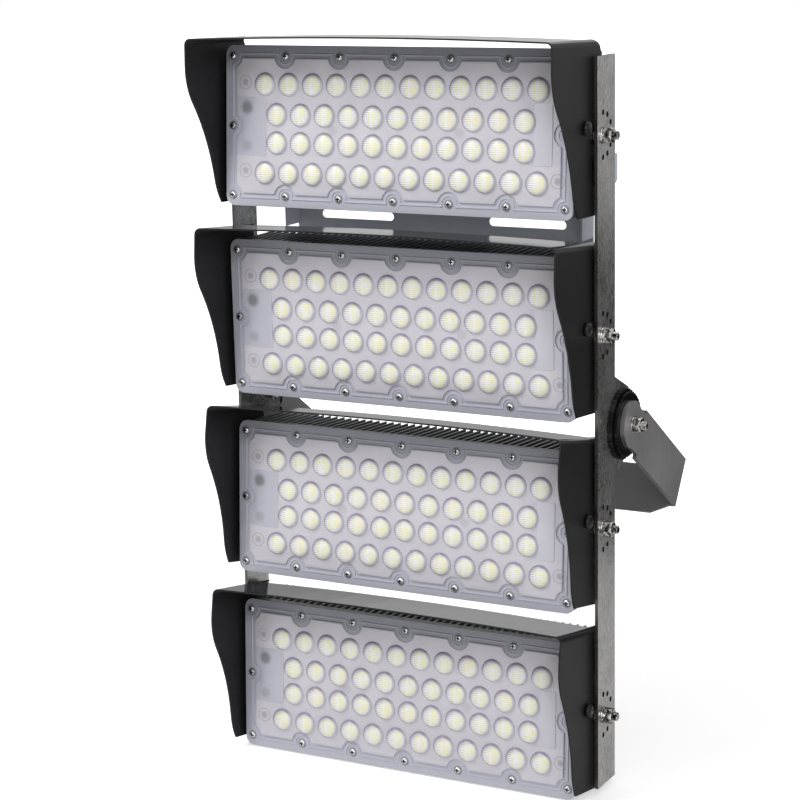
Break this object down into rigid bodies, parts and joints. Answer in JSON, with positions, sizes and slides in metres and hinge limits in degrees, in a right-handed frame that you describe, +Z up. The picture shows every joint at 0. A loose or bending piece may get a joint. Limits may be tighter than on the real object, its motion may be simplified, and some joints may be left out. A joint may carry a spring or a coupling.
{
  "type": "led floodlight head",
  "caption": "LED floodlight head: tilting lens modules with finned heat sinks under bent sheet hoods, between two flat side bars, on a U-shaped yoke with toothed discs.",
  "frame": {"origin": "centre of the yoke's central hole, on the outer face of its strap", "axes": "+Z up along the side bars, the lamps shine towards -Y, X across the head"},
  "size_m": [0.4268, 0.2741, 0.6939],
  "materials": {
    "lens_cover": "clear moulded lens plate",
    "led_board": "white solder mask",
    "heat_sink": "grey cast or extruded",
    "end_plate": "dark satin",
    "steel_fastener": "bright stainless",
    "bar_steel": "brushed",
    "disc": "gloss black",
    "plate_paint": "satin blue-grey",
    "yoke_paint": "dark grey satin",
    "hood_sheet": "black satin coating, glossy on top",
    "knob": "gloss black"
  },
  "bodies": {
    "yoke": {"yoke_bracket": "yoke_paint", "yoke_disc_left": "disc", "yoke_disc_right": "disc", "yoke_bolts": "steel_fastener"},
    "frame": {"side_bar_left": "bar_steel", "side_bar_right": "bar_steel", "frame_disc_left": "disc", "frame_disc_right": "disc", "cross_plate": "plate_paint"},
    "module_1": {"module_1_lens_cover": "lens_cover", "module_1_led_board": "led_board", "module_1_heat_sink": "heat_sink", "module_1_end_plates": "end_plate", "module_1_pivot_bolts": "steel_fastener"},
    "hood_1": {"hood_1": "hood_sheet", "hood_1_knobs": "knob"},
    "module_2": {"module_2_lens_cover": "lens_cover", "module_2_led_board": "led_board", "module_2_heat_sink": "heat_sink", "module_2_end_plates": "end_plate", "module_2_pivot_bolts": "steel_fastener"},
    "hood_2": {"hood_2": "hood_sheet", "hood_2_knobs": "knob"},
    "module_3": {"module_3_lens_cover": "lens_cover", "module_3_led_board": "led_board", "module_3_heat_sink": "heat_sink", "module_3_end_plates": "end_plate", "module_3_pivot_bolts": "steel_fastener"},
    "hood_3": {"hood_3": "hood_sheet", "hood_3_knobs": "knob"},
    "module_4": {"module_4_lens_cover": "lens_cover", "module_4_led_board": "led_board", "module_4_heat_sink": "heat_sink", "module_4_end_plates": "end_plate", "module_4_pivot_bolts": "steel_fastener"},
    "hood_4": {"hood_4": "hood_sheet", "hood_4_knobs": "knob"}
  },
  "joints": [
    {"name": "frame_tilt", "type": "hinge", "parent": "yoke", "child": "frame", "pos_m": [0, -0.12098, 0.09246], "axis": [1, 0, 0], "range_deg": [-90, 35]},
    {"name": "module_1_tilt", "type": "hinge", "parent": "frame", "child": "module_1", "pos_m": [0, -0.16148, 0.35871], "axis": [-1, 0, 0], "range_deg": [-5.7, 1.3]},
    {"name": "hood_1_tilt", "type": "hinge", "parent": "module_1", "child": "hood_1", "pos_m": [0, -0.16148, 0.35871], "axis": [-1, 0, 0], "range_deg": [0, 9.4]},
    {"name": "module_2_tilt", "type": "hinge", "parent": "frame", "child": "module_2", "pos_m": [0, -0.16148, 0.18121], "axis": [-1, 0, 0], "range_deg": [-1.5, 5.5]},
    {"name": "hood_2_tilt", "type": "hinge", "parent": "module_2", "child": "hood_2", "pos_m": [0, -0.16148, 0.18121], "axis": [-1, 0, 0], "range_deg": [-7.4, 2]},
    {"name": "module_3_tilt", "type": "hinge", "parent": "frame", "child": "module_3", "pos_m": [0, -0.16148, 0.00371], "axis": [-1, 0, 0], "range_deg": [-5.4, 1.6]},
    {"name": "hood_3_tilt", "type": "hinge", "parent": "module_3", "child": "hood_3", "pos_m": [0, -0.16148, 0.00371], "axis": [-1, 0, 0], "range_deg": [-9.4, 0]},
    {"name": "module_4_tilt", "type": "hinge", "parent": "frame", "child": "module_4", "pos_m": [0, -0.16148, -0.17379], "axis": [-1, 0, 0], "range_deg": [-4.7, 2.3]},
    {"name": "hood_4_tilt", "type": "hinge", "parent": "module_4", "child": "hood_4", "pos_m": [0, -0.16148, -0.17379], "axis": [-1, 0, 0], "range_deg": [-9.1, 0.3]}
  ]
}
